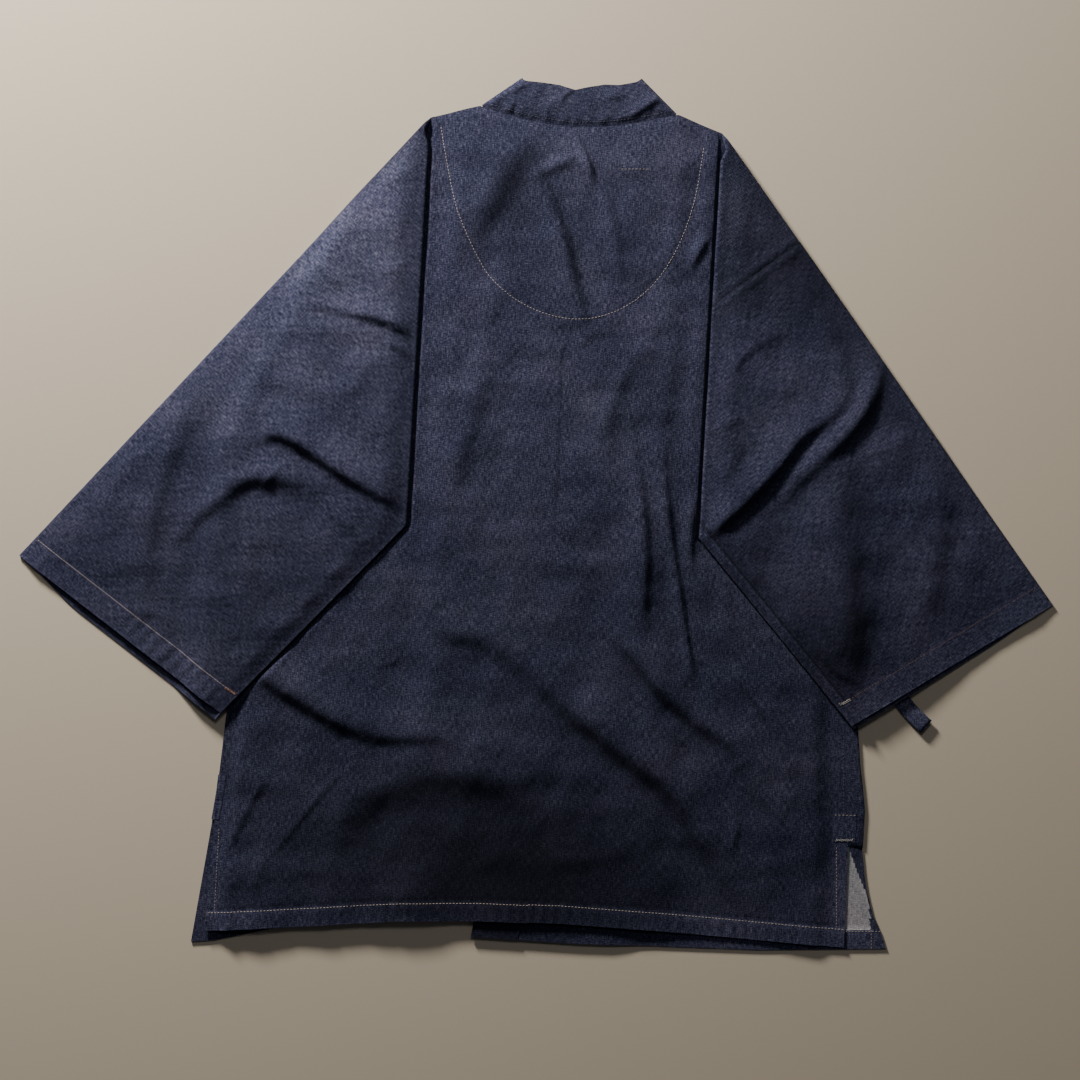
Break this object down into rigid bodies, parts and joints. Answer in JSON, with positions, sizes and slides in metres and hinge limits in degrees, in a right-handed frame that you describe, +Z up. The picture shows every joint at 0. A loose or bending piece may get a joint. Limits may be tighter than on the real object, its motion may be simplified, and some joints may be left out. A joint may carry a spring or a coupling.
{
  "type": "kimono jacket",
  "caption": "Hip-length denim kimono jacket laid flat face down, wide sleeves folded back in a pleat at each shoulder, band collar and side slits.",
  "frame": {"origin": "middle of the laid-out jacket's box, on the surface it lies on", "axes": "+X across the jacket towards the right of its back, +Y towards the collar, +Z up from the surface"},
  "size_m": [0.9927, 0.8509, 0.0161],
  "materials": {
    "denim": "dark indigo cotton denim, matt"
  },
  "bodies": {
    "root": {"back_left": "denim", "back_right": "denim", "front_left": "denim", "front_right": "denim", "sleeve_left": "denim", "sleeve_right": "denim", "collar_left": "denim", "collar_right": "denim", "tie_right": "denim", "tie_left": "denim", "patch_right": "denim", "patch_left": "denim"}
  },
  "joints": []
}
